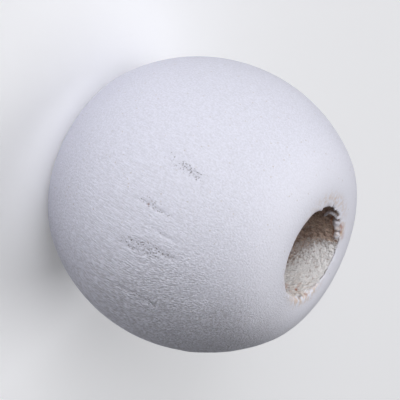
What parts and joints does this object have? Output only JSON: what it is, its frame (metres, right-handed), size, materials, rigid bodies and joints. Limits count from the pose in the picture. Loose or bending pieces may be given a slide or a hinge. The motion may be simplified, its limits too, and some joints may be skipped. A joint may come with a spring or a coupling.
{
  "type": "wooden bead",
  "caption": "Round wooden bead with slightly flattened ends, painted white, with a straight hole drilled along its axis for a cord or thread.",
  "frame": {"origin": "middle of the end that the bead stands on, on the hole's axis", "axes": "+Z along the hole, up from the end that the bead stands on; X and Y are across the hole, and the bead is round about Z"},
  "size_m": [0.01, 0.01, 0.009],
  "materials": {
    "painted_wood": "matte"
  },
  "bodies": {
    "root": {"bead": "painted_wood"}
  },
  "joints": []
}
